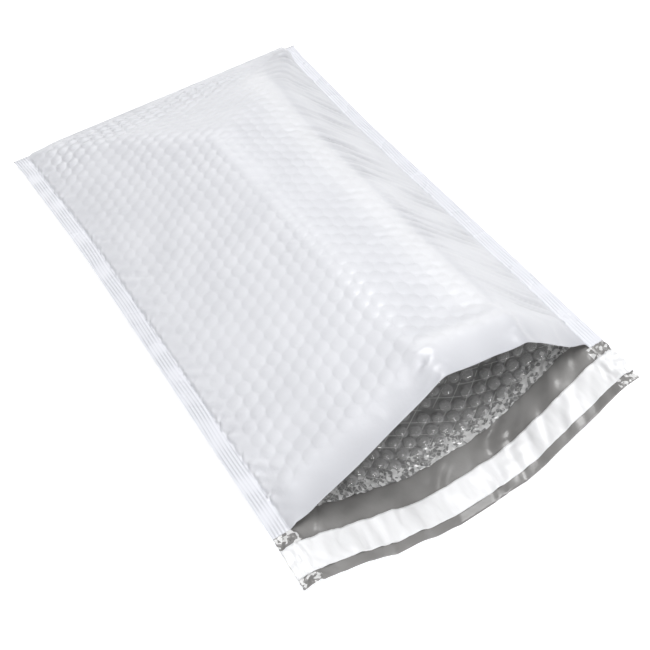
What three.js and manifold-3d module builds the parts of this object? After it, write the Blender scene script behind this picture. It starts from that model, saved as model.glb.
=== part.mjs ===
// Padded mailing envelope, lying on its back panel with the mouth held open by the padding.
// Millimetres, +Z up. The folded end is towards +Y, the mouth and its flap towards -Y, and the
// origin is on the resting plane under the middle of the whole object.
//
// One sheet of film runs from the front lip, over the fold at the far end, and back to the flap.
// Every piece is cut from that sheet's surface: a flat box of columns and rows is laid on it, and
// each step across or along the sheet keeps the flat length that it had before the pouch was filled.
import * as THREE from 'three';
import { mergeVertices } from 'three/addons/utils/BufferGeometryUtils.js';
import Module from 'manifold-3d';

// Flat sizes of the film
const FLAT_WIDTH = 266.7;
const POCKET_LENGTH = 410;
const FLAP_LENGTH = 33;
const SEAL_WIDTH = 11.1;
const FILM = 0.3;
const SEAM_SHRINK = 0.01;
const SHRINK_REACH = 30;

// Shape of the filled pouch
const FOLD_HEIGHT = 6;
const FOLD_RADIUS = 4.5;
const MOUTH_SEAM_HEIGHT = 47;
const FRONT_RISE = 51;
const CREASE_AT = -3;
const RIDGE_AT = 58;
const RIDGE_RUN = 45;
const RIDGE_SPREAD = 0.9;
const RIDGE_SHARE = 0.78;
const CORNER_ROUND = 0.12;
const LEAST_ROUND = 0.001;
const END_DIP = 0.3;
const END_RUN = 80;
const FRONT_END_SLOPE = 0.33;
const FRONT_END_ROUND = 8;
const BACK_END_SLOPE = 0.25;
const BACK_END_ROUND = 3;
const BACK_SLOPE_LEFT = 0.46;
const BACK_SLOPE_RIGHT_FAR = 0.62;
const BACK_SLOPE_RIGHT_MOUTH = 0.54;
const BACK_ROUND = 8;

// Padding, adhesive band and peel-off liner
const PADDING = 4;
const PADDING_EDGE = 0.4;
const PADDING_SHARE = 0.9;
const CAVITY_SIDE_MARGIN = 1.6;
const PADDING_SIDE_MARGIN = 3.2;
const PADDING_FRONT_MARGIN = 16;
const PADDING_BACK_MARGIN = 10;
const CLEARANCE = 0.3;
const RELEASE_START = 8;
const RELEASE_WIDTH = 19;
const ADHESIVE_WIDTH = 12;
const STRIP = 0.2;
const FLAP_SIDE_TRIM = 0.3;
const FLAP_FACE_TRIM = 0.04;

// Mesh fineness
const COLUMNS = 20;
const ROWS = 15;
const ROW_CROWDING = 1.8;
const LEAST_COLUMN = 4;
const MERGE_DISTANCE = 1e-5;

const filmEdge = FLAT_WIDTH / 2;
const flapEdge = filmEdge - FLAP_SIDE_TRIM;
const sealEdge = filmEdge - SEAL_WIDTH;
const cavityEdge = sealEdge - CAVITY_SIDE_MARGIN;
const paddingEdge = sealEdge - PADDING_SIDE_MARGIN;
const foldTurn = (FOLD_RADIUS + FILM) * Math.PI / 2;

const wasm = await Module();
wasm.setup();

// The smaller of two heights, with the corner between them rounded over the given difference. The
// rounding shrinks with the heights, so it never takes more than a quarter of the smaller one.
function smoothMin(a, b, round) {
  const span = THREE.MathUtils.clamp(Math.max(a, b), LEAST_ROUND, round);
  const near = Math.max(span - Math.abs(a - b), 0);
  return Math.min(a, b) - near * near / (4 * span);
}

// Height of the side seams, from the fold to the mouth.
function seamHeight(v) {
  return THREE.MathUtils.lerp(FOLD_HEIGHT, MOUTH_SEAM_HEIGHT, Math.min(v / POCKET_LENGTH, 1));
}

// How far a panel may stand off the seam level, v mm along the sheet from the fold.
function endRise(v, slope) {
  if (v < foldTurn) {
    return FOLD_RADIUS * Math.sin(v / (FOLD_RADIUS + FILM));
  }
  return FOLD_RADIUS + slope * (v - foldTurn);
}

// The front panel climbs from the left seal to a soft crease, runs nearly level to a ridge, and
// drops steeply to the right seal. The ridge runs out to the far right corner.
function frontOpening(s, v) {
  const spread = RIDGE_SPREAD * Math.exp(-v / RIDGE_RUN);
  const ridge = THREE.MathUtils.lerp(RIDGE_AT, sealEdge, spread);
  const climb = (s + sealEdge) / (CREASE_AT + sealEdge);
  const level = 1 - (1 - RIDGE_SHARE) * (s - CREASE_AT) / (ridge - CREASE_AT);
  const drop = RIDGE_SHARE * (sealEdge - s) / (sealEdge - ridge);
  const section = smoothMin(smoothMin(climb, level, CORNER_ROUND), drop, CORNER_ROUND);
  const rise = FRONT_RISE * (1 - END_DIP * Math.exp(-v / END_RUN));
  return Math.max(smoothMin(rise * section, endRise(v, FRONT_END_SLOPE), FRONT_END_ROUND), 0);
}

// The back panel slopes down from both seals and lies flat on the ground between them.
function backOpening(s, v) {
  const along = Math.min(v / POCKET_LENGTH, 1);
  const rightSlope = THREE.MathUtils.lerp(BACK_SLOPE_RIGHT_FAR, BACK_SLOPE_RIGHT_MOUTH, along);
  const sides = smoothMin(BACK_SLOPE_LEFT * (s + sealEdge), rightSlope * (sealEdge - s), BACK_ROUND);
  const drop = smoothMin(sides, seamHeight(v) - FILM, BACK_ROUND);
  return Math.max(smoothMin(drop, endRise(v, BACK_END_SLOPE), BACK_END_ROUND), 0);
}

function opening(s, path) {
  return path < 0 ? frontOpening(s, -path) : backOpening(s, path);
}

// Height of the film's outer face. The path is negative on the front panel and positive on the back.
function outerHeight(s, path) {
  const v = Math.abs(path);
  const tip = v < foldTurn ? (FOLD_RADIUS + FILM) * Math.sin(v / (FOLD_RADIUS + FILM)) : Infinity;
  return seamHeight(v) - Math.sign(path) * Math.min(FILM + opening(s, path), tip);
}

// Columns across the sheet: even ones, and one for each edge of a piece.
function sheetColumns() {
  const edges = [flapEdge, sealEdge, cavityEdge, paddingEdge];
  const even = Array.from({ length: COLUMNS + 1 }, (_, i) => (i / COLUMNS - 0.5) * FLAT_WIDTH);
  const kept = even.filter((s) => Math.abs(s) < paddingEdge - LEAST_COLUMN || Math.abs(s) === filmEdge);
  return [...kept, ...edges, ...edges.map((s) => -s)].sort((a, b) => a - b);
}

// Rows of one panel from the fold to the padding's end, closer together at the fold.
function paddedRows(length) {
  return Array.from({ length: ROWS + 1 }, (_, j) => length * (j / ROWS) ** ROW_CROWDING);
}

// Distance left for one step of the sheet when the step also climbs.
function levelStep(flat, climb) {
  return Math.sqrt(Math.max(flat * flat - climb * climb, 0));
}

// Places across one row, marched from seal to seal.
function rowPlaces(columns, path) {
  const places = [0];
  for (let i = 1; i < columns.length; i++) {
    const climb = outerHeight(columns[i], path) - outerHeight(columns[i - 1], path);
    places.push(places[i - 1] + levelStep(columns[i] - columns[i - 1], climb));
  }
  return places;
}

function seamDistance(path) {
  const v = Math.min(Math.abs(path), POCKET_LENGTH);
  const front = rowPlaces(allColumns, -v).at(-1);
  const back = rowPlaces(allColumns, v).at(-1);
  return (front + back) / 2;
}

// Distance along the ground from the fold to each row of one column.
function columnPlaces(s, rows, side) {
  const inward = Math.max(sealEdge - Math.abs(s), 0);
  const keep = 1 - SEAM_SHRINK * Math.exp(-inward / SHRINK_REACH);
  const places = [0];
  for (let j = 1; j < rows.length; j++) {
    const climb = outerHeight(s, side * rows[j]) - outerHeight(s, side * rows[j - 1]);
    places.push(places[j - 1] + keep * levelStep(rows[j] - rows[j - 1], climb));
  }
  return places;
}

// The sheet's outer face as a grid of points, each with the normal that points out of the pocket.
// The row on the fold itself is left out, so the fold has a narrow flat face.
function sheetGrid(frontRows, backRows) {
  const paths = [...frontRows.slice(1).reverse().map((v) => -v), ...backRows.slice(1)];
  const frontY = allColumns.map((s) => columnPlaces(s, frontRows, -1));
  const backY = allColumns.map((s) => columnPlaces(s, backRows, 1));
  const points = paths.map((path) => {
    const places = rowPlaces(allColumns, path);
    const spread = seamDistance(path) / places.at(-1);
    return allColumns.map((s, i) => new THREE.Vector3(
      (places[i] - places.at(-1) / 2) * spread,
      -(path < 0 ? frontY[i][frontRows.indexOf(-path)] : backY[i][backRows.indexOf(path)]),
      outerHeight(s, path),
    ));
  });
  return { paths, points, normals: gridNormals(points) };
}

function gridNormals(points) {
  const lastRow = points.length - 1;
  const lastColumn = points[0].length - 1;
  return points.map((row, j) => row.map((_, i) => {
    const across = row[Math.min(i + 1, lastColumn)].clone().sub(row[Math.max(i - 1, 0)]);
    const along = points[Math.min(j + 1, lastRow)][i].clone().sub(points[Math.max(j - 1, 0)][i]);
    return across.cross(along).normalize();
  }));
}

// A point of the sheet's column s and row path, the given depth inside its outer face.
function sheetPoint(column, row, depth) {
  return sheet.points[row][column].clone().addScaledVector(sheet.normals[row][column], -depth);
}

// Moves the points of a box of squares. The box's corner is counted as column 0, row 0.
function reshape(geometry, across, along, pointAt) {
  const position = geometry.attributes.position;
  for (let n = 0; n < position.count; n++) {
    const column = Math.round(position.getX(n) + across / 2);
    const row = Math.round(position.getY(n) + along / 2);
    const point = pointAt(column, row, position.getZ(n) > 0);
    position.setXYZ(n, point.x, point.y, point.z);
  }
  geometry.deleteAttribute('normal');
  geometry.deleteAttribute('uv');
  return mergeVertices(geometry, MERGE_DISTANCE);
}

// A closed solid between two depths inside the sheet's outer face, between the columns -side and
// side and the rows at two paths.
function layerSolid({ side, from, to }, outerDepth, innerDepth) {
  const firstColumn = allColumns.indexOf(-side);
  const firstRow = sheet.paths.indexOf(from);
  const across = allColumns.indexOf(side) - firstColumn;
  const along = sheet.paths.indexOf(to) - firstRow;
  const geometry = new THREE.BoxGeometry(across, along, 1, across, along, 1);
  alignInnerFace(geometry);
  return reshape(geometry, across, along, (i, j, outer) => {
    const [column, row] = [firstColumn + i, firstRow + j];
    const depthAt = outer ? outerDepth : innerDepth;
    return sheetPoint(column, row, depthAt(allColumns[column], sheet.paths[row]));
  });
}

// A closed body between the front and back panels, from the fold to the rows at mouthPath.
function pouchSolid(side, mouthPath, depth) {
  const firstColumn = allColumns.indexOf(-side);
  const across = allColumns.indexOf(side) - firstColumn;
  const firstRow = sheet.paths.indexOf(-mouthPath);
  const lastRow = sheet.paths.indexOf(mouthPath);
  const along = (lastRow - firstRow - 1) / 2;
  const geometry = new THREE.BoxGeometry(across, along, 1, across, along, 1);
  return reshape(geometry, across, along, (i, j, front) => (
    sheetPoint(firstColumn + i, front ? firstRow + j : lastRow - j, depth)
  ));
}

// A box's far face splits its squares along the other diagonal. Splitting them as the near face
// does keeps the faces of neighbouring layers parallel where the sheet is twisted.
function alignInnerFace(geometry) {
  const { start, count } = geometry.groups.at(-1);
  const index = geometry.index.array;
  for (let k = start; k < start + count; k += 6) {
    const [a, b, d, , c] = index.slice(k, k + 6);
    index.set([a, b, c, a, c, d], k);
  }
}

function manifoldOf(geometry) {
  return new wasm.Manifold(new wasm.Mesh({
    numProp: 3,
    vertProperties: new Float32Array(geometry.attributes.position.array),
    triVerts: new Uint32Array(geometry.index.array),
  }));
}

function geometryOf(solid) {
  const mesh = solid.getMesh();
  const geometry = new THREE.BufferGeometry();
  geometry.setAttribute('position', new THREE.BufferAttribute(mesh.vertProperties, 3));
  geometry.setIndex(new THREE.BufferAttribute(mesh.triVerts, 1));
  return geometry;
}

function material(color, roughness) {
  return new THREE.MeshStandardMaterial({ color, roughness, metalness: 0 });
}

function piece(name, geometry, finish) {
  geometry.computeVertexNormals();
  const mesh = new THREE.Mesh(geometry, finish);
  mesh.name = name;
  return mesh;
}

// The film: a pouch emptied through its mouth, fused along both sides, with a flap on its back.
function outerFilm() {
  const pouch = manifoldOf(pouchSolid(filmEdge, POCKET_LENGTH, 0));
  const cavity = manifoldOf(pouchSolid(cavityEdge, releaseStart, FILM));
  const flapEdges = { side: flapEdge, from: backPadding, to: flapEnd };
  const flap = manifoldOf(layerSolid(flapEdges, () => FLAP_FACE_TRIM, () => FILM - FLAP_FACE_TRIM));
  return piece('outer_film', geometryOf(pouch.subtract(cavity).add(flap)), material(0xe9eaee, 0.42));
}

// The bubble sheet, folded with the film, thinning into the wedge beside each seal.
function bubbleLiner() {
  const outside = () => FILM + CLEARANCE;
  const inside = (s, path) => {
    const side = path < 0 ? -1 : 1;
    const room = opening(s, side * Math.max(Math.abs(path), foldTurn));
    const padding = THREE.MathUtils.clamp(PADDING_SHARE * room - CLEARANCE, PADDING_EDGE, PADDING);
    return FILM + CLEARANCE + padding;
  };
  const geometry = layerSolid({ side: paddingEdge, from: -frontPadding, to: backPadding }, outside, inside);
  return piece('bubble_liner', geometry, material(0x8f8f8f, 0.2));
}

// A thin strip across the flap's inner face, the given depth inside the film's outer face.
function flapStrip(name, start, width, depth, finish) {
  const edges = { side: flapEdge, from: start, to: start + width };
  return piece(name, layerSolid(edges, () => depth, () => depth + STRIP), finish);
}

const frontPadding = POCKET_LENGTH - PADDING_FRONT_MARGIN;
const backPadding = POCKET_LENGTH - PADDING_BACK_MARGIN;
const flapEnd = POCKET_LENGTH + FLAP_LENGTH;
const releaseStart = POCKET_LENGTH + RELEASE_START;
const releaseEnd = releaseStart + RELEASE_WIDTH;
const adhesiveStart = releaseStart + (RELEASE_WIDTH - ADHESIVE_WIDTH) / 2;
const adhesiveEnd = adhesiveStart + ADHESIVE_WIDTH;
const adhesiveDepth = FILM + CLEARANCE;
const releaseDepth = adhesiveDepth + STRIP + CLEARANCE;

const allColumns = sheetColumns();
const sheet = sheetGrid(
  [...paddedRows(frontPadding), POCKET_LENGTH, releaseStart],
  [...paddedRows(backPadding), POCKET_LENGTH, releaseStart, adhesiveStart, adhesiveEnd, releaseEnd, flapEnd],
);

const group = new THREE.Group();
group.add(outerFilm());
group.add(bubbleLiner());
group.add(flapStrip('adhesive_strip', adhesiveStart, ADHESIVE_WIDTH, adhesiveDepth, material(0xd8d2bc, 0.5)));
group.add(flapStrip('release_liner', releaseStart, RELEASE_WIDTH, releaseDepth, material(0xf2f2f2, 0.35)));

const extent = new THREE.Box3().setFromObject(group);
group.position.y = -(extent.min.y + extent.max.y) / 2;

export default group;
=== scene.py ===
import math

import bmesh
import bpy
import numpy as np
from mathutils import Matrix, Vector


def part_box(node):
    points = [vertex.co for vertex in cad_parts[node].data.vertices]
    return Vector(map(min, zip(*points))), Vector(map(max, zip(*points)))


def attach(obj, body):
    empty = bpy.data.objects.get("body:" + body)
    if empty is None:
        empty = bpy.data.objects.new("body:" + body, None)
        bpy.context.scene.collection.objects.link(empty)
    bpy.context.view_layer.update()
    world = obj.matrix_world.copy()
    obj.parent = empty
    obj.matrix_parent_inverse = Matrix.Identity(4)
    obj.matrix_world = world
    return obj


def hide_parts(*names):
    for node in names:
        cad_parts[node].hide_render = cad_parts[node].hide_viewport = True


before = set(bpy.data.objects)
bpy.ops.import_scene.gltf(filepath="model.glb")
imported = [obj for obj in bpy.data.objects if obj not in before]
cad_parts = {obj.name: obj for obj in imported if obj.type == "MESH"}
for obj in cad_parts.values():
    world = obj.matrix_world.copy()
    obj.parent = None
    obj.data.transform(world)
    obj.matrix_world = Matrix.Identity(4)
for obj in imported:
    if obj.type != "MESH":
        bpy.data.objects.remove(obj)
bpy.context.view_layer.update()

# Padded mailing envelope: one folded film with ribbed side seals and a flap, a folded bubble sheet
# inside it, and an adhesive band under a peel-off strip. Lengths here are millimetres on the flat
# sheet, as it is cut: s is the distance across from the middle, path is the distance from the fold,
# negative on the front panel, and v is that distance without its sign.

MM = 0.001
FLAT_WIDTH = 266.7
POCKET_LENGTH = 410.0
FLAP_LENGTH = 33.0
SEAL_WIDTH = 11.1
FILM = 0.3
FOLD_HEIGHT = 6.0
FOLD_RADIUS = 4.5
MOUTH_SEAM_HEIGHT = 47.0
FRONT_RISE = 51.0
CREASE_AT = -3.0
RIDGE_AT = 58.0
RIDGE_RUN = 45.0
RIDGE_SPREAD = 0.9
RIDGE_SHARE = 0.78
CORNER_ROUND, MOUTH_CORNER_ROUND = 0.12, 0.035
SHARPENS_FROM, SHARPENS_TO = 330, 405
LEAST_ROUND = 0.001
END_DIP, END_RUN = 0.3, 80.0
FRONT_END_SLOPE, FRONT_END_ROUND = 0.33, 5.0
BACK_END_SLOPE, BACK_END_ROUND = 0.25, 3.0
BACK_SLOPE_LEFT = 0.46
BACK_SLOPE_RIGHT_FAR, BACK_SLOPE_RIGHT_MOUTH = 0.62, 0.54
BACK_ROUND = 8.0
SEAM_SHRINK, SHRINK_REACH = 0.01, 30.0

FILM_EDGE = FLAT_WIDTH / 2
SEAL_EDGE = FILM_EDGE - SEAL_WIDTH
LINER_EDGE = SEAL_EDGE - 3.2
FLAP_END = POCKET_LENGTH + FLAP_LENGTH
FRONT_LINER_END = POCKET_LENGTH - 15.0
BACK_LINER_END = POCKET_LENGTH - 9.0
RELEASE_START, RELEASE_END = POCKET_LENGTH + 8.0, POCKET_LENGTH + 27.0
ADHESIVE_START, ADHESIVE_END = RELEASE_START + 3.5, RELEASE_END - 3.5
FOLD_TURN = (FOLD_RADIUS + FILM) * math.pi / 2
FOLD_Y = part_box("outer_film")[1].y / MM

BUBBLE_PITCH = 10.4
BUBBLE_ROW = 8.9
BUBBLE_RADIUS = 4.7
BUBBLE_HEIGHT = 2.8
RIB_PITCH = 2.05
REST_HEIGHT = 0.1
THIN_FILM = 0.2
FUSED_FILM = 0.06
WEB_DEPTH = FILM + 0.4
ADHESIVE_DEPTH, RELEASE_DEPTH = 0.35, 0.65
ADHESIVE_THICKNESS, RELEASE_THICKNESS = 0.15, 0.1

# Strengths of the film's relief.
IMPRINT_HEIGHT, IMPRINT_REACH = 0.56, 6.0
PATCHINESS, RIDGE_LOSS, FOLD_GAIN = 0.12, 0.65, 1.5
BACK_SHARE = 0.6
PATTERN_CREEP = 0.6
LEAN_LEFT, LEAN_RIGHT, LEAN_ROUND = -0.2, 0.07, 8.0
SEAL_STEP, SEAL_STEP_RUN = 1.6, 28
SHORT_PUCKER, SLANTED_PUCKER = 0.36, 0.45
RIGHT_PUCKER_SHARE, LIP_PUCKER_LOSS = 0.75, 0.75
BROAD_GATHER, FINE_GATHER = 0.65, 0.38
TOP_CREASE, END_CREASE, FOLD_CREASE, CORNER_CREASE = 0.3, 0.28, 0.8, 0.55
SOFT_SWELL = 0.25
LIP_WAVE, LIP_ROLL, KINK_ROLL, LIP_DROP = 0.35, 2.2, 2.0, 2.0
CRUMPLE = 0.7
RIB_HEIGHT, RIB_WEAR = 0.19, 0.05
FLAP_SWELL, FLAP_CREASE = 0.6, 0.6
BROAD_CRUSH, FINE_CRUSH = 1.1, 0.4
RELEASE_WAVE, RELEASE_CREASE = 0.7, 0.6
CRINKLE, CRINKLE_LIFT = 0.4, 0.6
LONG_RAG, SHORT_RAG = 0.25, 0.08

# How much painted shade and grey show, and how strong the painted sheen is.
STEEP_SHADE, HOLLOW_SHADE, RIGHT_SEAL_GREY = 0.16, 0.75, 0.45
ROLL_SHEEN, CREST_SHEEN = 0.9, 0.7

# Limits and variety of the bubbles.
BUBBLE_END_GAP, BUBBLE_SIDE_GAP = 6.5, 3
ROOM_SHARE, ROOM_GAP, LEAST_BUBBLE = 0.9, 1.2, 1.2
DOME_HEIGHTS, DOME_WIDTHS, DOME_LEAN = (0.86, 1.0), (0.95, 1.02), 0.5

# Numbers of columns and rows in the sheets' grids, and the runs where they are closer together.
HALF_COLUMNS, EDGE_COLUMNS, SEAL_COLUMNS, EDGE_RUN = 68, 6, 23, 6
FRONT_ROWS = 268
FLAP_ROWS, FLAP_RUN = (84, 30, 3, 8, 3, 4), 26
LINER_COLUMNS = 200
LINER_FRONT_ROWS, LINER_BACK_ROWS, LINER_END_RUN = (70, 14), (80, 22), 20

# How far under the end of the bubble sheet the film's inner face goes on.
LIP_LAP, FLAP_LAP = 18, 24


# ---- the filled pouch ----

def fade(x, start, end):
    """0 at start and 1 at end, smoothly."""
    t = np.clip((x - start) / (end - start), 0, 1)
    return t * t * (3 - 2 * t)


def smooth_min(a, b, reach):
    """The lesser of two heights, rounded where they cross."""
    span = np.clip(np.maximum(a, b), LEAST_ROUND, reach)
    near = np.maximum(span - np.abs(a - b), 0)
    return np.minimum(a, b) - near * near / (4 * span)


def from_seal(s):
    """Distance inward from the inner edge of the nearer seal."""
    return SEAL_EDGE - np.abs(s)


def in_pocket(path):
    """True on the two panels, and not on the flap."""
    return np.abs(path) <= POCKET_LENGTH


def seam_height(v):
    return FOLD_HEIGHT + (MOUTH_SEAM_HEIGHT - FOLD_HEIGHT) * np.minimum(v / POCKET_LENGTH, 1)


def fold_arc(v):
    return np.sin(np.minimum(v, FOLD_TURN) / (FOLD_RADIUS + FILM))


def end_rise(v, slope):
    return np.where(v < FOLD_TURN, FOLD_RADIUS * fold_arc(v), FOLD_RADIUS + slope * (v - FOLD_TURN))


def ridge_place(v):
    spread = RIDGE_SPREAD * np.exp(-v / RIDGE_RUN)
    return RIDGE_AT + (SEAL_EDGE - RIDGE_AT) * spread


def front_opening(s, v):
    ridge = ridge_place(v)
    climb = (s + SEAL_EDGE) / (CREASE_AT + SEAL_EDGE)
    level = 1 - (1 - RIDGE_SHARE) * (s - CREASE_AT) / (ridge - CREASE_AT)
    drop = RIDGE_SHARE * (SEAL_EDGE - s) / (SEAL_EDGE - ridge)
    corner = CORNER_ROUND + (MOUTH_CORNER_ROUND - CORNER_ROUND) * fade(v, SHARPENS_FROM, SHARPENS_TO)
    section = smooth_min(smooth_min(climb, level, corner), drop, corner)
    rise = FRONT_RISE * (1 - END_DIP * np.exp(-v / END_RUN))
    return np.maximum(smooth_min(rise * section, end_rise(v, FRONT_END_SLOPE), FRONT_END_ROUND), 0)


def back_opening(s, v):
    along = np.minimum(v / POCKET_LENGTH, 1)
    right_slope = BACK_SLOPE_RIGHT_FAR + (BACK_SLOPE_RIGHT_MOUTH - BACK_SLOPE_RIGHT_FAR) * along
    sides = smooth_min(BACK_SLOPE_LEFT * (s + SEAL_EDGE), right_slope * (SEAL_EDGE - s), BACK_ROUND)
    drop = smooth_min(sides, seam_height(v) - FILM, BACK_ROUND)
    return np.maximum(smooth_min(drop, end_rise(v, BACK_END_SLOPE), BACK_END_ROUND), 0)


def opening(s, path):
    v = np.abs(path)
    return np.where(path < 0, front_opening(s, v), back_opening(s, v))


def outer_height(s, path):
    v = np.abs(path)
    tip = np.where(v < FOLD_TURN, (FOLD_RADIUS + FILM) * fold_arc(v), np.inf)
    return seam_height(v) - np.sign(path) * np.minimum(FILM + opening(s, path), tip)


def level_steps(flat, climb):
    return np.sqrt(np.maximum(flat * flat - climb * climb, 0))


def row_places(s, paths):
    """Places across each row, marched from seal to seal so that the flat width is kept."""
    heights = outer_height(s[None, :], paths[:, None])
    steps = level_steps(np.diff(s)[None, :], np.diff(heights, axis=1))
    return np.concatenate([np.zeros((len(paths), 1)), np.cumsum(steps, axis=1)], axis=1)


def column_places(s, v, side):
    """Distance along the ground from the fold to each row, for every column of one panel."""
    heights = outer_height(s[None, :], side * v[:, None])
    keep = 1 - SEAM_SHRINK * np.exp(-np.maximum(from_seal(s), 0) / SHRINK_REACH)
    steps = keep * level_steps(np.diff(v)[:, None], np.diff(heights, axis=0))
    return np.concatenate([np.zeros((1, len(s))), np.cumsum(steps, axis=0)], axis=0)


def lay_sheet(s, front, back):
    """The film's outer face in the filled pouch: rows from the front lip over the fold to the flap.

    Both lists of rows start at the fold. Returns the paths, the points and their outward normals."""
    paths = np.concatenate([-front[:0:-1], back])
    along = np.concatenate([column_places(s, front, -1)[:0:-1], column_places(s, back, 1)])
    across = row_places(s, paths)
    even = np.minimum(np.abs(paths), POCKET_LENGTH)
    seam = (row_places(s, -even)[:, -1] + row_places(s, even)[:, -1]) / 2
    across = (across - across[:, -1:] / 2) * (seam / across[:, -1])[:, None]
    heights = outer_height(s[None, :], paths[:, None])
    points = np.stack([across, FOLD_Y - along, heights], axis=-1)
    normals = np.cross(np.gradient(points, axis=1), np.gradient(points, axis=0))
    normals /= np.linalg.norm(normals, axis=-1, keepdims=True)
    return paths, points, normals


# ---- the film's relief ----

RIPPLE_WAVES = 20
OCTAVES = 0.6
CREST_ROUND = 0.01
PINCH_ROUND = 0.08


def ripples(s, v, angle, spread, length, seed):
    """Random ripples of about one wavelength, their crests at an angle in degrees from the length."""
    draw = np.random.default_rng(seed)
    total = np.zeros(np.broadcast(s, v).shape)
    for _ in range(RIPPLE_WAVES):
        turn = math.radians(angle + spread * draw.uniform(-1, 1))
        wave = length * 2 ** draw.uniform(-OCTAVES, OCTAVES)
        phase = draw.uniform(0, 2 * math.pi)
        total += np.sin(2 * math.pi / wave * (s * math.cos(turn) - v * math.sin(turn)) + phase)
    return total / math.sqrt(RIPPLE_WAVES / 2)


def creases(s, v, angle, spread, length, seed):
    """Ripples with sharp crests, one length apart, and round hollows, from -1 to 1."""
    waves = ripples(s, v, angle, spread, 2 * length, seed)
    return np.maximum(1 - 1.25 * np.sqrt(waves ** 2 + CREST_ROUND), -1)


def turned(s, v, at, size, angle):
    """Distances from a place in two directions turned by an angle, counted in two half sizes."""
    turn = math.radians(angle)
    ds, dv = s - at[0], v - at[1]
    return ((ds * math.cos(turn) - dv * math.sin(turn)) / size[0],
            (ds * math.sin(turn) + dv * math.cos(turn)) / size[1])


def bump(s, v, at, size, angle=0.0):
    """A soft round-topped bump at a place on the flat sheet, with two half sizes."""
    a, b = turned(s, v, at, size, angle)
    return np.exp(-a * a - b * b)


def pinch(s, v, at, size, angle):
    """A short crease with a sharp crest, lengthwise at an angle of 0."""
    a, b = turned(s, v, at, size, angle)
    return np.exp(-np.sqrt(a * a + PINCH_ROUND) - b * b)


def marks(s, v, entries):
    """The sum of single bumps and pinches."""
    return sum(height * shape(s, v, at, size, angle) for shape, height, at, size, angle in entries)


# Single folds of the bare film: shape, height, place on the flat sheet, half sizes and angle.
LIP_FOLDS = (
    (pinch, 0.3, (-1, 399), (3.0, 6), 10),
    (pinch, -0.5, (-7, 402), (3.2, 6), -35),
    (pinch, 0.4, (-14, 401), (3.2, 5), 60),
    (pinch, -0.4, (-15, 394), (3.0, 4), 20),
    (pinch, 0.7, (-25, 397), (2.4, 7), 65),
    (pinch, 0.6, (-44, 399), (2.2, 5), 30),
    (pinch, 0.5, (-80, 369), (2.0, 5), 20),
    (pinch, 0.5, (-62, 388), (2.2, 6), 55),
    (pinch, 1.0, (RIDGE_AT - 1, 402), (3.4, 9), 8),
    (pinch, 0.8, (RIDGE_AT - 4, 405), (2.4, 8), 38),
    (bump, -1.2, (RIDGE_AT + 8, 399), (4.0, 9), 12),
    (pinch, 0.8, (96, 402), (2.6, 9), -15),
)
LIP_CRUMPLES = (
    (bump, 1.0, (CREASE_AT - 1, 398), (8, 9), 0),
    (bump, 0.6, (RIDGE_AT - 2, 401), (7, 8), 0),
)
FLAP_FOLDS = (
    (pinch, 2.0, (-109, 413), (3.2, 7), -35),
    (pinch, -1.6, (-104, 412), (3.0, 6), 10),
    (bump, 1.3, (-14, 409), (9, 4), 65),
    (bump, -1.1, (4, 407), (8, 4), 60),
    (pinch, 0.9, (14, 408), (3.0, 8), 70),
    (bump, -0.9, (92, 408), (10, 4), 60),
)


def bubble_distance(s, v):
    """Distance on the flat sheet to the nearest bubble of the sheet inside."""
    nearest = np.full(np.broadcast(s, v).shape, np.inf)
    for step in (0, 1):
        row = np.floor(s / BUBBLE_ROW) + step
        shift = (row % 2) * BUBBLE_PITCH / 2
        dv = (v - shift + BUBBLE_PITCH / 2) % BUBBLE_PITCH - BUBBLE_PITCH / 2
        nearest = np.minimum(nearest, np.hypot(s - row * BUBBLE_ROW, dv))
    return nearest


def pattern_places(s, path):
    """The film has crept a little over the bubble sheet, so the pattern wanders and leans."""
    v = np.abs(path)
    beside = s - CREASE_AT
    lean = LEAN_LEFT * smooth_min(beside, 0 * beside, LEAN_ROUND) + LEAN_RIGHT * np.maximum(beside, 0)
    return (s + PATTERN_CREEP * ripples(s, v, 30, 90, 60, 11),
            v + lean + PATTERN_CREEP * ripples(s, v, 30, 90, 60, 12))


def imprint_depth(s, path):
    """How strongly the bubbles show in the film: about 1 on the left slope, more near the fold."""
    v = np.abs(path)
    patchy = 1 + PATCHINESS * ripples(s, v, 0, 90, 70, 13)
    right = 1 - RIDGE_LOSS * fade(s, RIDGE_AT - 12, RIDGE_AT + 14)
    ends = fade(v, 4, 20) * (1 + FOLD_GAIN * (1 - fade(v, 35, 75)))
    lip = 1 - fade(v, FRONT_LINER_END - 12, FRONT_LINER_END + 2)
    return np.where(path < 0, right, BACK_SHARE) * patchy * ends * lip * fade(from_seal(s), 3, 16)


def imprint(s, path):
    """How far the film stands out over the bubbles."""
    distance = bubble_distance(*pattern_places(s, path))
    dome = (1 - np.minimum(distance / IMPRINT_REACH, 1) ** 2) ** 2
    return IMPRINT_HEIGHT * imprint_depth(s, path) * dome


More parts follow.
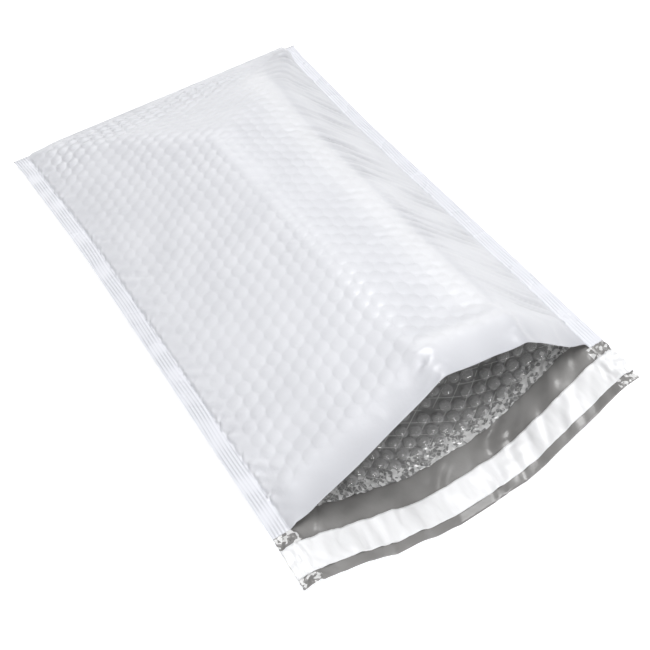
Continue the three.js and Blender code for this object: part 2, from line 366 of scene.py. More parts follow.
def puckers(s, path):
    """The film gathers beside each seal, which shrank when it was welded."""
    v = np.abs(path)
    inward = from_seal(s)
    beyond = np.maximum(inward, 0)
    wavy = inward + 0.5 * ripples(0 * s, v, 90, 0, 9, 21) + 0.3 * ripples(0 * s, v, 90, 0, 4, 22)
    beside = np.clip(wavy / 2.2, 0, 1)
    step = (1 - (1 - beside) ** 2) * np.exp(-beyond / SEAL_STEP_RUN)
    short = ripples(s, v, 90, 9, 6.5, 23) * np.exp(-beyond / 5)
    slanted = ripples(s, v, 44, 8, 8.0, 24) + 0.6 * creases(s, v, 47, 10, 5.0, 25)
    slanted = slanted * np.exp(-np.maximum(inward - 5, 0) / 13) * (s < 0)
    folds = (SHORT_PUCKER * short + SLANTED_PUCKER * slanted) * fade(inward, 0, 3)
    strength = np.where(s < 0, 1.0, RIGHT_PUCKER_SHARE)
    lip = 1 - LIP_PUCKER_LOSS * fade(v, FRONT_LINER_END - 10, FRONT_LINER_END + 6)
    return strength * lip * (SEAL_STEP * step + folds) * fade(v, 2, 12)


def steep_side(s, v):
    """1 on the steep side of the front panel, and 0 away from it."""
    steep = fade(s - ridge_place(v), -14, 12) * fade(SEAL_EDGE - s, 1, 9) * fade(v, 6, 24)
    return steep * (1 - fade(v, FRONT_LINER_END - 25, FRONT_LINER_END + 5))


def side_gathers(s, v):
    """Gathers down the steep side, a little weaker toward the mouth."""
    patch = 0.75 + 0.35 * np.clip(ripples(s, v, 15, 30, 70, 31), -1, 1) - 0.1 * fade(v, 210, 320)
    gathers = BROAD_GATHER * creases(s, v, 67, 7, 11.0, 32) + FINE_GATHER * creases(s, v, 72, 9, 5.5, 33)
    return steep_side(s, v) * patch * gathers


def fold_end_creases(s, v):
    """Fine creases along the folded end, one long fold up from its left corner, and crushed corners."""
    inward = from_seal(s)
    end = fade(v, 3, 9) * (1 - fade(v, 30, 62)) * fade(inward, 3, 25)
    relief = END_CREASE * end * creases(s, v, 84, 8, 5.5, 35)
    from_left = s + SEAL_EDGE
    across_fold = (v - 13 - 0.85 * (from_left - 6)) / 3.9
    along_fold = fade(from_left, 4, 14) * (1 - fade(from_left, 50, 90))
    relief += FOLD_CREASE * along_fold * np.exp(-np.sqrt(across_fold ** 2 + 0.05))
    for side, seed in ((-1, 36), (1, 37)):
        corner = bump(s, v, (side * (SEAL_EDGE - 3), 7), (13, 13))
        relief += CORNER_CREASE * corner * creases(s, v, 90 + side * 35, 15, 5, seed) * fade(v, 5, 10)
    return relief


def wrinkles(s, path):
    """The side's gathers, faint creases across the top, and the folded end's own creases."""
    v = np.abs(path)
    beyond = s - ridge_place(v)
    top = fade(beyond, -50, -12) * (1 - fade(beyond, -12, 8)) * fade(v, 30, 80)
    swell = ripples(s, v, 10, 60, 90, 38) * fade(from_seal(s), 5, 40) * fade(v, 10, 60)
    relief = (side_gathers(s, v) + TOP_CREASE * top * creases(s, v, 77, 8, 7.0, 34)
              + fold_end_creases(s, v) + SOFT_SWELL * swell)
    return np.where(path < 0, relief, BACK_SHARE * relief)


def lip_marks(s, path):
    """The bare lip beyond the bubbles: soft pulls, a rolled edge, single folds and two crumples."""
    v = np.abs(path)
    inner = fade(from_seal(s), 2, 14)
    wave = inner * fade(v, FRONT_LINER_END - 14, FRONT_LINER_END + 4) * ripples(s, v, 10, 40, 34, 41)
    between = fade(s, CREASE_AT - 16, CREASE_AT + 12) * (1 - fade(s, RIDGE_AT - 4, RIDGE_AT + 10))
    roll = (LIP_ROLL + KINK_ROLL * between) * np.exp(-((v - 389) / 11) ** 2)
    roll = (roll - LIP_DROP * fade(v, 388, 412)) * inner
    crumpled = CRUMPLE * marks(s, v, LIP_CRUMPLES) * ripples(s, v, 70, 60, 7.5, 61)
    return np.where(path < 0, LIP_WAVE * wave + roll + marks(s, v, LIP_FOLDS) + crumpled, 0)


def rib_wave(s, v):
    """The ribs embossed lengthwise into each seal: 1 on a rib and -1 in a groove."""
    drift = 0.22 * ripples(0 * s, v, 90, 0, 80, 51)
    return np.cos(2 * math.pi * (drift - from_seal(s)) / RIB_PITCH)


def rib_depth(s, v):
    return np.clip(0.85 + 0.35 * ripples(s, v, 90, 60, 26, 52), 0.3, 1.2)


def seal_ribs(s, path):
    """Ribs with worn and uneven patches."""
    v = np.abs(path)
    band = -from_seal(s)
    within = fade(band, -0.4, 0.6) * (1 - fade(band, SEAL_WIDTH - 1.0, SEAL_WIDTH - 0.3))
    uneven = 1 + np.clip(ripples(s, v, 90, 50, 18, 53), -1, 1)
    return within * (RIB_HEIGHT * rib_depth(s, v) * (1 + rib_wave(s, v)) + RIB_WEAR * uneven)


def thin_grey_and_shade(s, path):
    """Grey in the seals' grooves, where the thin film lets its grey layer show, deepened as painted shade;
    and painted shade on the steep side and in the gathers' hollows, 0 to 1.
    """
    v = np.abs(path)
    band = -from_seal(s)
    within = fade(band, -0.6, 0.2) * (1 - fade(band, SEAL_WIDTH - 0.9, SEAL_WIDTH - 0.2))
    grooves = 0.5 - 0.5 * rib_wave(s, v)
    ribs = within * grooves ** 3 * rib_depth(s, v) * in_pocket(path)
    beyond = fade(s - ridge_place(v), -1, 4)
    hollows = np.maximum(-side_gathers(s, v), 0)
    # Painted shade: the steep side and the hollows of its gathers are greyed in colour.
    painted_shade = STEEP_SHADE * steep_side(s, v) * beyond + HOLLOW_SHADE * hollows
    return ribs * np.where(s > 0, RIGHT_SEAL_GREY, 1.0) + np.where(path < 0, painted_shade, 0)


def painted_sheen(s, path):
    """Painted sheen: paler along the ridge, on the lip's roll and on the gathers' crests, 0 to 1."""
    v = np.abs(path)
    beyond = s - ridge_place(v)
    across = (beyond + 8) / 14
    along = fade(v, 25, 70) * (1 - fade(v, FRONT_LINER_END - 30, FRONT_LINER_END))
    ridge = np.exp(-across * across) * along * (1 - fade(beyond, -1, 4))
    roll = fade(s, CREASE_AT - 6, CREASE_AT + 8) * (1 - fade(s, RIDGE_AT - 4, RIDGE_AT + 6))
    roll = ROLL_SHEEN * roll * np.exp(-((v - 387) / 5) ** 2)
    crests = CREST_SHEEN * side_gathers(s, v)
    return np.where(path < 0, np.maximum(np.maximum(ridge, roll), crests), 0)


def flap_waves(s, path):
    """Soft folds of the bare film on the back panel's mouth and flap, with crushed side seals."""
    bare = fade(path, BACK_LINER_END - 14, BACK_LINER_END + 4)
    soft = FLAP_SWELL * ripples(s, path, -20, 45, 32, 61) + FLAP_CREASE * creases(s, path, -30, 35, 14, 62)
    lifted = fade(path, POCKET_LENGTH, FLAP_END) * ripples(s, 0 * path, 0, 0, 62, 63)
    sides = fade(np.abs(s), SEAL_EDGE - 7, SEAL_EDGE + 3)
    edge = BROAD_CRUSH * creases(s, path, 60, 60, 6.0, 64) + FINE_CRUSH * creases(s, path, 0, 80, 3.4, 65)
    edge = sides * edge * (0.3 + 0.7 * fade(path, POCKET_LENGTH - 3, POCKET_LENGTH + 2))
    relief = bare * (fade(FILM_EDGE - np.abs(s), 6, 22) * soft + lifted + edge)
    return np.where(path > 0, relief + marks(s, path, FLAP_FOLDS), 0)


def film_relief(s, path):
    return (imprint(s, path) + puckers(s, path) + wrinkles(s, path) + lip_marks(s, path)
            + seal_ribs(s, path) + flap_waves(s, path))


def film_faces(s, path, points, normals):
    """The film's outer and inner faces. In the seals the two films are fused into one thin band."""
    band = -from_seal(s)
    fused = fade(band, -1, 0.5) * in_pocket(path)
    edge = (band > SEAL_WIDTH - 0.01) & in_pocket(path)
    relief = film_relief(s, path) - fused * (FILM - FUSED_FILM)
    relief = np.where(fused > 0.5, np.maximum(relief, FUSED_FILM - FILM), relief)
    relief = np.where(edge, -FILM, relief)
    outer = points + normals * relief[..., None]
    outer[..., 2] = np.maximum(outer[..., 2], REST_HEIGHT)
    thickness = np.where(fused > 0.5, FILM + relief, THIN_FILM)
    return outer, outer - normals * thickness[..., None]


# ---- meshes ----

def grid_of(s, paths):
    """Columns and rows as two arrays that spread over the whole sheet."""
    return s[None, :], paths[:, None]


def finish_piece(bm, name, material):
    mesh = bpy.data.meshes.new(name)
    bm.to_mesh(mesh)
    bm.free()
    mesh.materials.append(material)
    mesh.shade_smooth()
    piece = bpy.data.objects.new(name, mesh)
    bpy.context.scene.collection.objects.link(piece)
    return piece


def sheet_grid(columns, rows):
    """A grid of squares, with the column and row that each of its vertices belongs to."""
    bm = bmesh.new()
    bmesh.ops.create_grid(bm, x_segments=columns - 1, y_segments=rows - 1, size=1)
    place = np.array([v.co[:2] for v in bm.verts])
    column = np.rint((place[:, 0] + 1) / 2 * (columns - 1)).astype(int)
    row = np.rint((place[:, 1] + 1) / 2 * (rows - 1)).astype(int)
    return bm, column, row


def note_vectors(mesh, name, values):
    """Keeps a vector at every vertex for the material."""
    place = mesh.attributes.new(name, "FLOAT_VECTOR", "POINT")
    place.data.foreach_set("vector", values.astype(np.float32).ravel())


def note_values(mesh, name, values):
    """Keeps a number at every vertex for the material."""
    place = mesh.attributes.new(name, "FLOAT", "POINT")
    place.data.foreach_set("value", values.astype(np.float32))


def place_vertices(mesh, points, flat):
    """Moves vertices to their places, in metres, and notes where each is on the flat sheet."""
    mesh.vertices.foreach_set("co", (points * MM).astype(np.float32).ravel())
    note_vectors(mesh, "flat", flat)
    mesh.update()


def flat_places(s, path, layer=0.0):
    """Places on the flat sheet in metres, with the layer as their height: 1 on the inner face."""
    return np.stack(np.broadcast_arrays(s * MM, path * MM, layer), axis=-1)


def film_columns():
    """Columns across the film, closer together near the seals and on them."""
    half = np.concatenate([np.linspace(0, SEAL_EDGE - EDGE_RUN, HALF_COLUMNS, endpoint=False),
                           np.linspace(SEAL_EDGE - EDGE_RUN, SEAL_EDGE, EDGE_COLUMNS, endpoint=False),
                           np.linspace(SEAL_EDGE, FILM_EDGE, SEAL_COLUMNS)])
    return np.concatenate([-half[:0:-1], half])


def film_rows():
    """Rows of the front and back panels, with one at each edge of the bands on the flap."""
    bands = (RELEASE_START, ADHESIVE_START, ADHESIVE_END, RELEASE_END)
    stops = (0, BACK_LINER_END - FLAP_RUN, *bands, FLAP_END)
    pieces = [np.linspace(a, b, n, endpoint=False) for a, b, n in zip(stops, stops[1:], FLAP_ROWS)]
    return np.linspace(0, POCKET_LENGTH, FRONT_ROWS), np.concatenate([*pieces, [FLAP_END]])


def make_film(s, paths, outer, inner, material):
    """The film as one sheet that turns in at the lip and at the flap's end, to show its inner face."""
    lip_rows = int((paths < -(FRONT_LINER_END - LIP_LAP)).sum())
    flap_rows = int((paths > BACK_LINER_END - FLAP_LAP).sum())
    points = np.concatenate([inner[:lip_rows][::-1], outer, inner[-flap_rows:][::-1]])
    kept = [paths[:lip_rows][::-1], paths, paths[-flap_rows:][::-1]]
    inside = np.concatenate([np.full(len(k), float(i != 1)) for i, k in enumerate(kept)])
    over = grid_of(s, np.concatenate(kept))
    bm, column, row = sheet_grid(len(s), len(inside))
    bm.verts.index_update()
    first_row = [min(row[v.index] for v in face.verts) for face in bm.faces]
    on_skin = [lip_rows <= r < lip_rows + len(paths) for r in first_row]
    skin = [f for f, shown in zip(bm.faces, on_skin) if shown]
    lining = [f for f, shown in zip(bm.faces, on_skin) if not shown]
    bmesh.ops.triangulate(bm, faces=skin, quad_method="FIXED")
    bmesh.ops.triangulate(bm, faces=lining, quad_method="ALTERNATE")
    piece = finish_piece(bm, "film_pouch", material)
    place_vertices(piece.data, points[row, column], flat_places(*over, inside[:, None])[row, column])
    across, along = pattern_places(*over)
    lattice = np.stack([across * MM, along * MM, imprint_depth(*over)], axis=-1)
    note_vectors(piece.data, "bubbles", lattice[row, column])
    # Grey of the seals' grooves with painted shade, kept at every vertex for the material.
    note_values(piece.data, "thin_grey_and_shade", thin_grey_and_shade(*over)[row, column])
    # Painted sheen, kept at every vertex for the material.
    note_values(piece.data, "painted_sheen", painted_sheen(*over)[row, column])
    return piece


def flap_strip(name, band, depth_at, thickness, film_sheet, material):
    """A thin band across the flap's inner face, at a depth inside the film's outer face."""
    s, paths, outer, normals = film_sheet
    kept = (paths > band[0] - 0.01) & (paths < band[1] + 0.01)
    over = grid_of(s, paths[kept])
    face = outer[kept] - normals[kept] * depth_at(*over)[..., None]
    bm, column, row = sheet_grid(len(s), int(kept.sum()))
    piece = finish_piece(bm, name, material)
    place_vertices(piece.data, face[row, column], flat_places(*over)[row, column])
    solid = piece.modifiers.new("thickness", "SOLIDIFY")
    solid.thickness = thickness * MM
    solid.offset = 1
    return piece


def adhesive_depth(s, path):
    return np.full(np.broadcast(s, path).shape, ADHESIVE_DEPTH)


def release_depth(s, path):
    """Shallow waves of the peel-off strip between the places where the adhesive holds it."""
    across = 0.5 + 0.5 * ripples(s, path, -12, 22, 15, 71)
    crests = np.clip(creases(s, path, -20, 30, 8, 72), 0, 1)
    return RELEASE_DEPTH + RELEASE_WAVE * np.clip(across, 0, 1.5) + RELEASE_CREASE * crests


def liner_crinkle(s, path):
    """The bubble sheet's crushed margin at the mouth."""
    end = np.where(path < 0, FRONT_LINER_END, BACK_LINER_END)
    near = fade(np.abs(path), end - 22, end - 4)
    sharp = creases(s, path, 10, 70, 5.5, 81) + 0.5 * creases(s, path, 40, 80, 3.6, 82)
    return near * (CRINKLE * sharp + CRINKLE_LIFT)


def liner_rows(end, counts):
    """Rows of one panel of the bubble sheet, closer together at its crushed end."""
    return np.concatenate([np.linspace(0, end - LINER_END_RUN, counts[0], endpoint=False),
                           np.linspace(end - LINER_END_RUN, end, counts[1])])


def make_liner(web_material, dome_material):
    """The bubble sheet: a folded web with a crinkled end, and a dome for every bubble."""
    s = np.linspace(-LINER_EDGE, LINER_EDGE, LINER_COLUMNS)
    paths, points, normals = lay_sheet(s, liner_rows(FRONT_LINER_END, LINER_FRONT_ROWS),
                                       liner_rows(BACK_LINER_END, LINER_BACK_ROWS))
    over = grid_of(s, paths)
    depth = WEB_DEPTH - np.minimum(film_relief(*over), 0) + liner_crinkle(*over)
    web = points - normals * depth[..., None]
    ragged = LONG_RAG * ripples(s, 0 * s, 0, 0, 18, 83) + SHORT_RAG * ripples(s, 0 * s, 0, 0, 6, 84)
    for end in (0, -1):
        web[end, :, 1] += ragged
    web[..., 2] = np.maximum(web[..., 2], REST_HEIGHT + 0.5)
    bm, column, row = sheet_grid(len(s), len(paths))
    piece = finish_piece(bm, "bubble_sheet", web_material)
    place_vertices(piece.data, web[row, column], flat_places(*over)[row, column])
    domes = make_domes(s, paths, points, normals, dome_material)
    with bpy.context.temp_override(active_object=piece, object=piece,
                                   selected_objects=[piece, domes],
                                   selected_editable_objects=[piece, domes]):
        bpy.ops.object.join()
    return piece


def bubble_places():
    """Where the bubbles are on the flat sheet, and how high each can stand in the pocket."""
    last_row = int(LINER_EDGE / BUBBLE_ROW)
    last_step = math.ceil(BACK_LINER_END / BUBBLE_PITCH)
    row, step = (a.ravel() for a in np.meshgrid(np.arange(-last_row, last_row + 1),
                                                np.arange(-last_step, last_step + 1)))
    s = row * BUBBLE_ROW
    path = step * BUBBLE_PITCH + (row % 2) * BUBBLE_PITCH / 2 * np.where(step < 0, -1, 1)
    v = np.abs(path)
    end = np.where(path < 0, FRONT_LINER_END, BACK_LINER_END) - BUBBLE_END_GAP
    room = opening(s, path) * ROOM_SHARE - ROOM_GAP
    inside = (np.abs(s) < LINER_EDGE - BUBBLE_SIDE_GAP) & (v > 2 * FOLD_TURN) & (v < end)
    kept = inside & (room > LEAST_BUBBLE)
    return s[kept], path[kept], np.minimum(room[kept], BUBBLE_HEIGHT)


def dome_shape():
    """The upper half of a small sphere, as a mesh."""
    shape = bmesh.new()
    bmesh.ops.create_uvsphere(shape, u_segments=10, v_segments=8, radius=1)
    everything = shape.verts[:] + shape.edges[:] + shape.faces[:]
    bmesh.ops.bisect_plane(shape, geom=everything, dist=1e-4, plane_co=(0, 0, 0),
                           plane_no=(0, 0, 1), clear_inner=True)
    mesh = bpy.data.meshes.new("dome")
    shape.to_mesh(mesh)
    shape.free()
    return mesh


def make_domes(s, paths, points, normals, material):
    """One low dome, repeated at every bubble's place on the web."""
    template = dome_shape()
    dome = np.array([v.co for v in template.vertices])
    places = bubble_places()
    bm = bmesh.new()
    for _ in places[0]:
        bm.from_mesh(template)
    bpy.data.meshes.remove(template)
    piece = finish_piece(bm, "domes", material)
    draw = np.random.default_rng(91)
    made, flat = [], []
    for at, path, height in zip(*places):
        j = int(np.argmin(np.abs(paths - path)))
        i = int(np.argmin(np.abs(s - at)))
        along = points[min(j + 1, len(paths) - 1), i] - points[max(j - 1, 0), i]
        along = along / np.linalg.norm(along)
        up = -normals[j, i]
        squash = height * draw.uniform(*DOME_HEIGHTS)
        width = BUBBLE_RADIUS * draw.uniform(*DOME_WIDTHS)
        lean = draw.uniform(-DOME_LEAN, DOME_LEAN, 2)
        local = dome * [width, width, squash] + np.outer(dome[:, 2] ** 2, [*lean, 0])
        made.append(points[j, i] + up * WEB_DEPTH + local @ np.stack([np.cross(along, up), along, up]))
        flat.append([at * MM, path * MM, 0] + dome * [0, 0, 1])
    place_vertices(piece.data, np.concatenate(made), np.concatenate(flat))
    return piece


# ---- materials ----

class Value:
    """A socket that adds a Math node for each operation on it."""

    def __init__(self, paint, socket):
        self.paint, self.socket = paint, socket

    def math(self, operation, first, second=0.0):
        return self.paint.node("ShaderNodeMath", {"operation": operation}, {0: first, 1: second})

    def __add__(self, other):
        return self.math("ADD", self, other)

    def __radd__(self, other):
        return self.math("ADD", other, self)

    def __sub__(self, other):
        return self.math("SUBTRACT", self, other)

    def __rsub__(self, other):
        return self.math("SUBTRACT", other, self)

    def __mul__(self, other):
        return self.math("MULTIPLY", self, other)

    def __rmul__(self, other):
        return self.math("MULTIPLY", other, self)

    def __gt__(self, other):
        return self.math("GREATER_THAN", self, other)

    def __lt__(self, other):
        return self.math("LESS_THAN", self, other)

    def __abs__(self):
        return self.math("ABSOLUTE", self)

    def pingpong(self, reach):
        return self.math("PINGPONG", self, reach)

    def least(self, other):
        return self.math("MINIMUM", self, other)

    def power(self, exponent):
        return self.math("POWER", self, exponent)


class Paint:
    """A material whose nodes are added through one method."""

    def __init__(self, name):
        self.material = bpy.data.materials.new(name)
        self.material.use_nodes = True
        self.tree = self.material.node_tree
        self.tree.nodes.clear()

    def node(self, kind, settings=None, sockets=None, output=0):
        made = self.tree.nodes.new(kind)
        for name, value in (settings or {}).items():
            if name == "stops":
                for element, (position, colour) in zip(made.color_ramp.elements, value):
                    element.position, element.color = position, colour
            else:
                setattr(made, name, value)
        for name, value in (sockets or {}).items():
            if isinstance(value, Value):
                self.tree.links.new(value.socket, made.inputs[name])
            else:
                made.inputs[name].default_value = value
        return Value(self, made.outputs[output]) if made.outputs else made

    def finish(self, surface):
        self.node("ShaderNodeOutputMaterial", None, {"Surface": surface})
        return self.material


def grey(level):
    return (level, level, level, 1)


def attribute(paint, name, output="Vector"):
    return paint.node("ShaderNodeAttribute", {"attribute_name": name}, None, output)


def split(paint, vector):
    return [paint.node("ShaderNodeSeparateXYZ", None, {0: vector}, name) for name in "XYZ"]


def noise(paint, place, scale, detail):
    return paint.node("ShaderNodeTexNoise", None,
                      {"Vector": place, "Scale": scale, "Detail": detail}, "Fac")


def cells(paint, place, scale, output, feature="F1"):
    return paint.node("ShaderNodeTexVoronoi", {"feature": feature},
                      {"Vector": place, "Scale": scale}, output)


def ramp(paint, value, low, high):
    """A colour between two, for the middle range of a noise."""
    return paint.node("ShaderNodeValToRGB", {"stops": [(0.3, low), (0.7, high)]}, {"Fac": value})


def mix(paint, factor, first, second):
    return paint.node("ShaderNodeMix", {"data_type": "RGBA"}, {"Factor": factor, 6: first, 7: second}, 2)


def ease(paint, value, start, end):
    """0 at start and 1 at end, both in millimetres on the flat sheet."""
    return paint.node("ShaderNodeMapRange", {"interpolation_type": "SMOOTHSTEP"},
                      {"Value": value, "From Min": start * MM, "From Max": end * MM})


def bumped(paint, height, strength=1.0, distance=0.001):
    return paint.node("ShaderNodeBump", None,
                      {"Strength": strength, "Distance": distance, "Height": height})


def from_bubble(across, along):
    """Square of the distance to the nearest bubble, in square metres."""
    row, step = across.pingpong(BUBBLE_ROW * MM), along.pingpong(BUBBLE_PITCH / 2 * MM)
    next_row, next_step = BUBBLE_ROW * MM - row, BUBBLE_PITCH / 2 * MM - step
    return (row * row + step * step).least(next_row * next_row + next_step * next_step)


WHITE_FILM = ((0.79, 0.80, 0.84, 1), (0.84, 0.85, 0.89, 1))
GREY_FILM = ((0.24, 0.235, 0.23, 1), (0.32, 0.315, 0.31, 1))
# Colours of painted light on the film and web: sheen, shade toward the lip, the seals' sheen, grey grooves
# with shade, and glints.
SHEEN_WHITE = (0.94, 0.948, 0.975, 1)
LIP_SHADE_GREY = (0.62, 0.63, 0.67, 1)
SEAL_SHEEN_WHITE = (0.87, 0.88, 0.935, 1)
GROOVE_AND_SHADE_GREY = (0.36, 0.37, 0.40, 1)
CORNER_GLINT_WHITE = grey(0.85)
WEB_HIGHLIGHT_WHITE = grey(0.95)
CRUSH_SCALE = 280.0
LINE_EDGE = 0.474
ADHESIVE = ((0.60, 0.54, 0.36, 1), (0.70, 0.64, 0.46, 1))
RELEASE_FILM = ((0.92, 0.925, 0.94, 1), (0.96, 0.965, 0.98, 1))


def film_material():
    """White outside and grey inside, with a satin skin, the bubbles' edges and fine stretch marks, and
    painted light: sheen on the ridge, seals and crests, shade toward the lip, in the grooves and gathers,
    and glints at the crushed corners.
    """
    paint = Paint("co-extruded film")
    flat = attribute(paint, "flat")
    s, path, layer = split(paint, flat)
    inside = layer > 0.5
    cloud = noise(paint, flat, scale=34.0, detail=3.0)
    fine = noise(paint, flat, scale=420.0, detail=4.0)
    sealed = abs(s) > SEAL_EDGE * MM
    bare = ease(paint, abs(path), FRONT_LINER_END - 12, POCKET_LENGTH)
    white = ramp(paint, cloud, *WHITE_FILM)
    # Painted sheen: paler, bluer white along the ridge, the lip's roll and the gathers' crests.
    panel = mix(paint, attribute(paint, "painted_sheen", "Fac") * 0.75, white, SHEEN_WHITE)
    # Painted shade: the bare film greys toward the mouth's lip.
    lip = mix(paint, bare * 0.85, panel, LIP_SHADE_GREY)
    # Painted sheen: the seals are a paler white, with their own bluish tint.
    bright = mix(paint, sealed, lip, SEAL_SHEEN_WHITE)
    # Grey in the seals' grooves, partly painted shade, and painted shade on the steep side and in the
    # gathers' hollows.
    ribbed = mix(paint, attribute(paint, "thin_grey_and_shade", "Fac") * 0.52, bright, GROOVE_AND_SHADE_GREY)
    corners = (abs(s) > (SEAL_EDGE - 3) * MM) * (abs(path) > (POCKET_LENGTH - 3) * MM)
    # Painted glints: white flecks on the grey lining at the mouth's crushed corners.
    glint_flecks = cells(paint, flat, scale=500.0, output="Color") > 0.6
    lining = mix(paint, corners * glint_flecks * 0.9, ramp(paint, cloud, *GREY_FILM), CORNER_GLINT_WHITE)
    across, along, depth = split(paint, attribute(paint, "bubbles"))
    edge = from_bubble(across, along) * (1 / (BUBBLE_RADIUS * MM) ** 2)
    dome = 1.0 - edge.least(1.0).power(2.5)
    surface = paint.node("ShaderNodeBsdfPrincipled", None, {
        "Base Color": mix(paint, inside, ribbed, lining),
        "Roughness": (0.36 - 0.12 * inside) + (cloud - 0.5) * 0.16 - sealed * 0.08,
        "Normal": bumped(paint, dome * depth * 0.17 + fine * 0.08),
        "Specular IOR Level": 0.7})
    return paint.finish(surface)


def web_material():
    """The bubble sheet's flat web over the grey film, with painted highlight lines between the bubbles and
    painted glints on its crushed end.
    """
    paint = Paint("bubble web")
    place = paint.node("ShaderNodeTexCoord", None, None, "Object")
    flat = attribute(paint, "flat")
    across, path, _ = split(paint, flat)
    along = abs(path)
    cloud = noise(paint, place, scale=90.0, detail=3.0)
    fine = noise(paint, place, scale=420.0, detail=4.0)
    column, step = across * (0.5 / (BUBBLE_ROW * MM)), along * (1 / (BUBBLE_PITCH * MM))
    lines = ((step - column).pingpong(0.5) > LINE_EDGE) + ((step + column).pingpong(0.5) > LINE_EDGE)
    # Painted highlights: pale lines along the web's creases between the bubbles.
    between = lines.least(1.0) * (cloud > 0.44)
    margin = ease(paint, along, FRONT_LINER_END - 12, FRONT_LINER_END + 4)
    crushed = cells(paint, flat, scale=CRUSH_SCALE, output="Distance") * margin
    borders = cells(paint, flat, scale=CRUSH_SCALE, output="Distance", feature="DISTANCE_TO_EDGE")
    # Painted glints: white cell borders and spots on the crushed end of the sheet.
    glint_lines = (borders < 0.05) * margin
    glint_shards = cells(paint, flat, scale=430.0, output="Color") > 0.9 - margin * 0.42
    white = (glint_lines * 0.5 + glint_shards).least(1.0) * (margin > 0.08)
    base = ramp(paint, cloud, grey(0.27), grey(0.38))
    surface = paint.node("ShaderNodeBsdfPrincipled", None, {
        "Base Color": mix(paint, (between * 0.6 + white * 0.9).least(1.0), base, WEB_HIGHLIGHT_WHITE),
        "Roughness": 0.14,
        "Normal": bumped(paint, cloud + fine * 0.35 + between * 0.3 + crushed * 1.1, strength=0.7),
        "Coat Weight": 1.0, "Coat Roughness": 0.06, "Coat IOR": 1.9})
    return paint.finish(surface)


def dome_material():
    """Thin clear film: mostly see-through, glossy, and paler where it is seen edge on."""
    paint = Paint("clear bubble film")
    place = paint.node("ShaderNodeTexCoord", None, None, "Object")
    uneven = noise(paint, place, scale=260.0, detail=3.0)
    rim = paint.node("ShaderNodeLayerWeight", None, {"Blend": 0.35}, "Facing")
    film = paint.node("ShaderNodeBsdfPrincipled", None, {
        "Base Color": grey(0.92), "Roughness": 0.1,
        "Normal": bumped(paint, uneven, strength=0.3, distance=0.0005),
        "Specular IOR Level": 1.0, "Coat Weight": 1.0, "Coat Roughness": 0.05, "Coat IOR": 2.4})
    clear = paint.node("ShaderNodeBsdfTransparent", None, {"Color": grey(1.0)})
    surface = paint.node("ShaderNodeMixShader", None, {0: 0.30 + rim * 0.35, 1: clear, 2: film})
    return paint.finish(surface)


def strip_material(name, colours, roughness, scale):
    paint = Paint(name)
    cloud = noise(paint, attribute(paint, "flat"), scale, detail=4.0)
    surface = paint.node("ShaderNodeBsdfPrincipled", None, {
        "Base Color": ramp(paint, cloud, *colours),
        "Roughness": roughness + (cloud - 0.5) * 0.1,
        "Normal": bumped(paint, cloud, strength=0.2, distance=0.0003)})
    return paint.finish(surface)


def floor_material():
    paint = Paint("studio floor")
    surface = paint.node("ShaderNodeBsdfPrincipled", None, {
        "Base Color": grey(0.85), "Roughness": 0.9, "Emission Color": grey(1), "Emission Strength": 0.5})
    return paint.finish(surface)


# ---- studio ----

FLOOR_HALF_WIDTH, FLOOR_DROP = 6, 0.0002
CAMERA_PLACE = (-0.1785, -0.3455, 0.5042)
CAMERA_FORWARD = (0.2861, 0.4845, -0.8267)
CAMERA_RIGHT = (0.8452, -0.5340, -0.0205)
CAMERA_LENS, CAMERA_SENSOR = 47.5, 36
WORLD_LEVEL = 0.14
LIGHTS = (
    ("key", (0.13, -0.10, 1.8), (0, 0, 0), (1.1, 1.1), 25.5),
    ("back", (0.2, 1.5, 0.7), (0, 0, 0), (0.8, 0.5), 3.4),
    ("front", (-0.05, -1.28, 0.98), (0, 0, 0), (0.25, 0.25), 5.0),
    ("side", (-0.6, -1.1, 0.7), (0, -0.15, 0.02), (0.1, 0.1), 0.8),
)


def make_floor():
    bm = bmesh.new()
    bmesh.ops.create_grid(bm, x_segments=1, y_segments=1, size=FLOOR_HALF_WIDTH)
    floor = finish_piece(bm, "floor", floor_material())
    for vertex in floor.data.vertices:
        vertex.co.z = -FLOOR_DROP


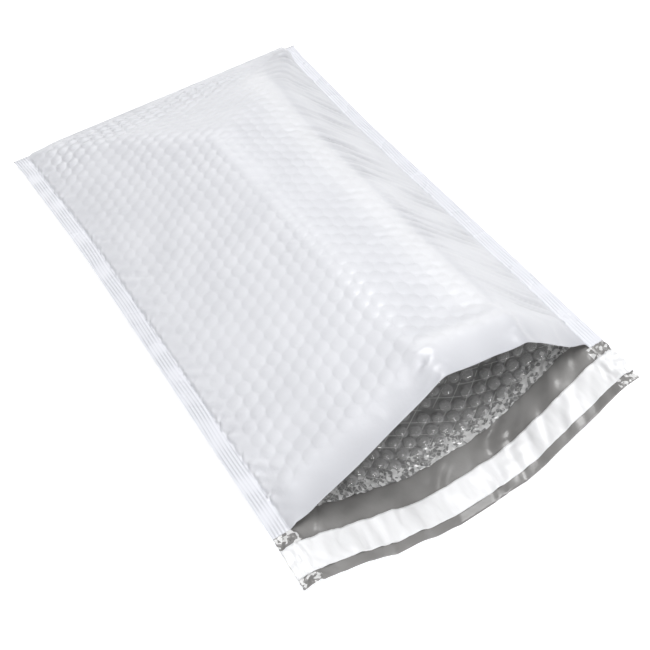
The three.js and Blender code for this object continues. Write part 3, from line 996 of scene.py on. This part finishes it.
def make_camera():
    data = bpy.data.cameras.new("camera")
    data.lens = CAMERA_LENS
    data.sensor_width = CAMERA_SENSOR
    data.clip_start, data.clip_end = 0.02, 50
    camera = bpy.data.objects.new("camera", data)
    forward = Vector(CAMERA_FORWARD).normalized()
    right = Vector(CAMERA_RIGHT)
    right = (right - forward * right.dot(forward)).normalized()
    up = right.cross(forward)
    turn = Matrix((right, up, -forward)).transposed().to_4x4()
    camera.matrix_world = Matrix.Translation(CAMERA_PLACE) @ turn
    bpy.context.scene.collection.objects.link(camera)
    bpy.context.scene.camera = camera


def soft_light(name, place, target, size, power):
    data = bpy.data.lights.new(name, "AREA")
    data.shape = "RECTANGLE"
    data.size, data.size_y = size
    data.energy = power
    light = bpy.data.objects.new(name, data)
    light.location = place
    light.rotation_euler = (Vector(target) - Vector(place)).to_track_quat("-Z", "Y").to_euler()
    bpy.context.scene.collection.objects.link(light)


def make_world(level):
    world = bpy.data.worlds.new("studio")
    world.use_nodes = True
    world.node_tree.nodes["Background"].inputs["Color"].default_value = grey(1)
    world.node_tree.nodes["Background"].inputs["Strength"].default_value = level
    bpy.context.scene.world = world


make_camera()
make_floor()
make_world(WORLD_LEVEL)
for light in LIGHTS:
    soft_light(*light)
bpy.context.scene.view_settings.view_transform = "Standard"

columns = film_columns()
paths, points, normals = lay_sheet(columns, *film_rows())
outer, inner = film_faces(*grid_of(columns, paths), points, normals)
film_sheet = (columns, paths, outer, normals)
film = make_film(columns, paths, outer, inner, film_material())
liner = make_liner(web_material(), dome_material())
adhesive = flap_strip("adhesive_band", (ADHESIVE_START, ADHESIVE_END), adhesive_depth,
                      ADHESIVE_THICKNESS, film_sheet,
                      strip_material("hot-melt adhesive", ADHESIVE, roughness=0.35, scale=160.0))
release = flap_strip("release_strip", (RELEASE_START, RELEASE_END), release_depth,
                     RELEASE_THICKNESS, film_sheet,
                     strip_material("release film", RELEASE_FILM, roughness=0.36, scale=60.0))

for piece, node, finish in ((film, "outer_film", "white_film"),
                            (liner, "bubble_liner", "clear_bubble_film"),
                            (adhesive, "adhesive_strip", "hot_melt_adhesive"),
                            (release, "release_liner", "release_film")):
    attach(piece, "root")
    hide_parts(node)
